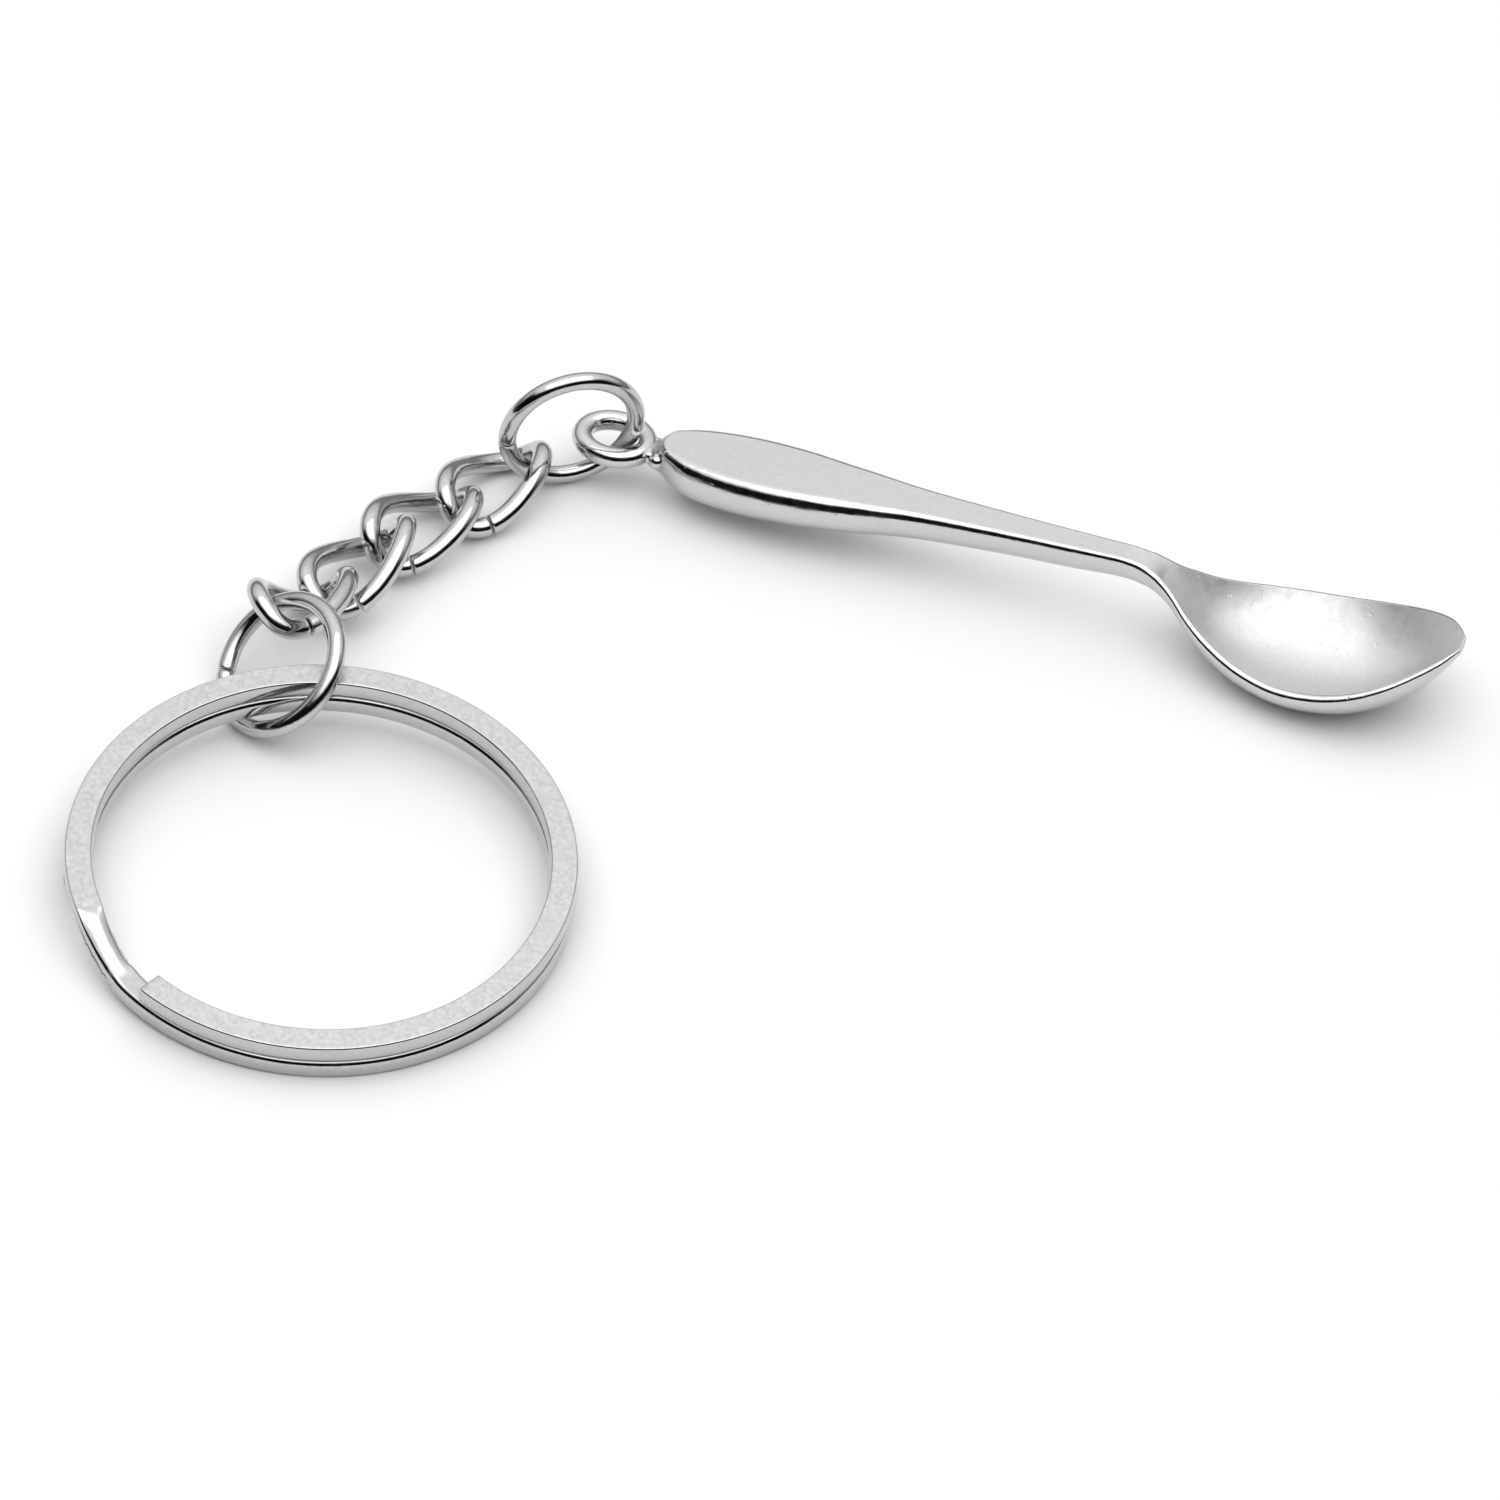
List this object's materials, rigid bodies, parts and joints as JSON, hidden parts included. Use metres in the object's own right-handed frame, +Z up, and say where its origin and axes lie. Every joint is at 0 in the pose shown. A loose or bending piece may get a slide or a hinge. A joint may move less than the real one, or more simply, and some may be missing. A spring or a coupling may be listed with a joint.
{
  "type": "split key ring",
  "caption": "Flat-wire split key ring with a short curb chain threaded through jump rings to a small cast spoon charm.",
  "frame": {"origin": "on the table under the middle of the whole set's box", "axes": "+X to the right along the spoon's length, +Y away from the split ring's near edge towards the chain, +Z up from the table"},
  "size_m": [0.0816, 0.0568, 0.0095],
  "materials": {
    "satin_nickel": "nickel plated steel, satin flat faces and bright edges",
    "bright_nickel": "polished nickel plate on bent round wire",
    "cast_nickel": "nickel plated casting, polished bowl and lightly brushed handle top"
  },
  "bodies": {
    "split_ring": {"split_ring": "satin_nickel"},
    "jump_ring_at_split_ring": {"jump_ring_at_split_ring": "bright_nickel"},
    "chain_link_1": {"chain_link_1": "bright_nickel"},
    "chain_link_2": {"chain_link_2": "bright_nickel"},
    "chain_link_3": {"chain_link_3": "bright_nickel"},
    "chain_link_4": {"chain_link_4": "bright_nickel"},
    "jump_ring_at_spoon": {"jump_ring_at_spoon": "bright_nickel"},
    "spoon_charm": {"spoon_charm": "cast_nickel"}
  },
  "joints": [
    {"name": "ring_slide", "type": "hinge", "parent": "split_ring", "child": "jump_ring_at_split_ring", "pos_m": [-0.02584, -0.01329, 0.00096], "axis": [0.0098, -0.062, 0.998], "continuous": true},
    {"name": "link_1_swing", "type": "hinge", "parent": "jump_ring_at_split_ring", "child": "chain_link_1", "pos_m": [-0.03091, 0.00583, 0.00461], "axis": [-0.792, 0.023, -0.61], "range_deg": [-25, 35]},
    {"name": "link_2_swing", "type": "hinge", "parent": "chain_link_1", "child": "chain_link_2", "pos_m": [-0.02876, 0.00916, 0.00234], "axis": [-0.7179, 0.4419, 0.5379], "range_deg": [-28, 28]},
    {"name": "link_3_swing", "type": "hinge", "parent": "chain_link_2", "child": "chain_link_3", "pos_m": [-0.0258, 0.01415, 0.00228], "axis": [-0.4759, 0.4429, 0.7598], "range_deg": [-30, 32]},
    {"name": "link_4_swing", "type": "hinge", "parent": "chain_link_3", "child": "chain_link_4", "pos_m": [-0.02146, 0.0186, 0.00187], "axis": [-0.5731, 0.4001, 0.7152], "range_deg": [-30, 20]},
    {"name": "end_ring_swing", "type": "hinge", "parent": "chain_link_4", "child": "jump_ring_at_spoon", "pos_m": [-0.0167, 0.02393, 0.00121], "axis": [0.8049, 0.349, -0.4799], "range_deg": [-25, 30]},
    {"name": "spoon_swing", "type": "hinge", "parent": "jump_ring_at_spoon", "child": "spoon_charm", "pos_m": [-0.01472, 0.02433, 0.00482], "axis": [0.3501, -0.9324, -0.09], "range_deg": [-30, 25]}
  ]
}
